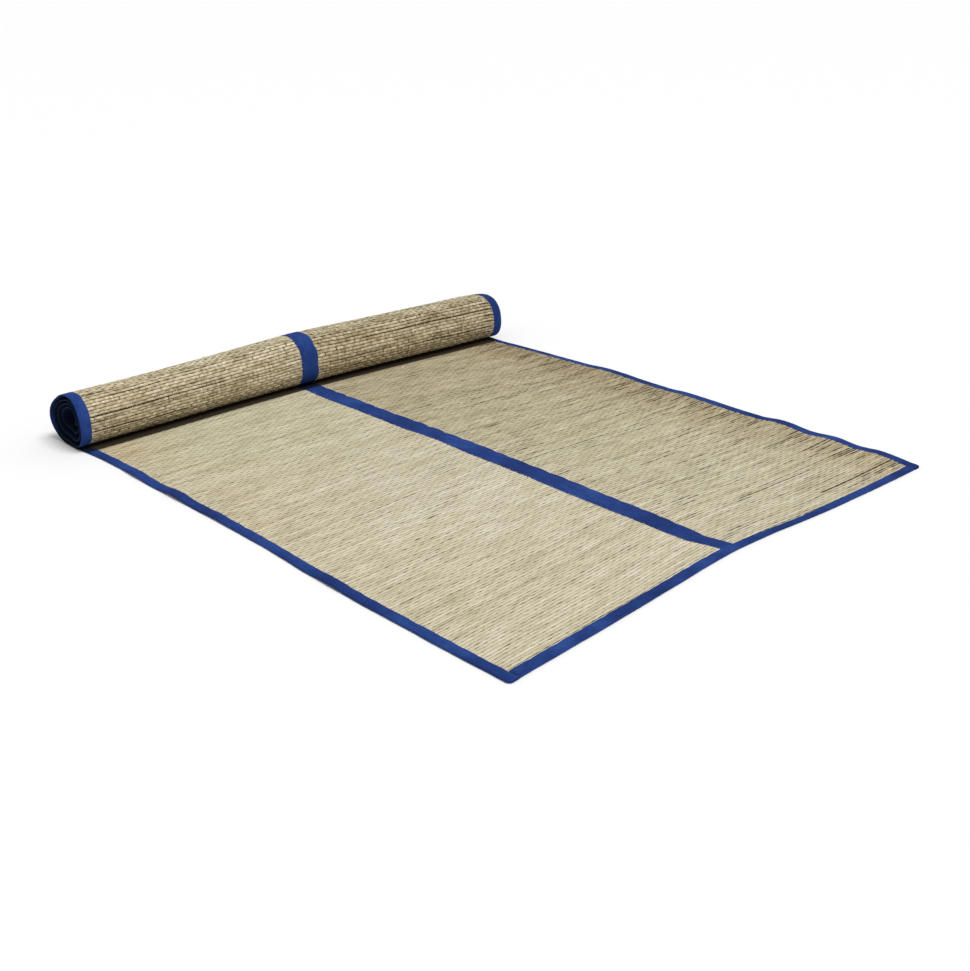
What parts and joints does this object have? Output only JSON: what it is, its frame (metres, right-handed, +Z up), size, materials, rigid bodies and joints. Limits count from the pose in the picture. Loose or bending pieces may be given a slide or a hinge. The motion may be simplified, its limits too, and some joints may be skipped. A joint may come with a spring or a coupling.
{
  "type": "straw beach mat",
  "caption": "Woven straw beach mat with cloth binding and a centre tape, partly unrolled: a flat stretch with the far end wound into a loose roll lying on it.",
  "frame": {"origin": "on the floor, below the middle of the mat's outline box", "axes": "+X across the mat to its right, +Y along the mat from the front edge towards the roll, +Z up"},
  "size_m": [0.905, 1.0658, 0.0913],
  "materials": {
    "straw": "dry woven rush stems, dull with a slight sheen",
    "tape": "plain woven blue cotton tape, matt"
  },
  "bodies": {
    "root": {"straw_panel_left": "straw", "straw_panel_right": "straw", "centre_tape": "tape", "binding_left": "tape", "binding_right": "tape", "binding_front": "tape", "binding_inner": "tape"}
  },
  "joints": []
}
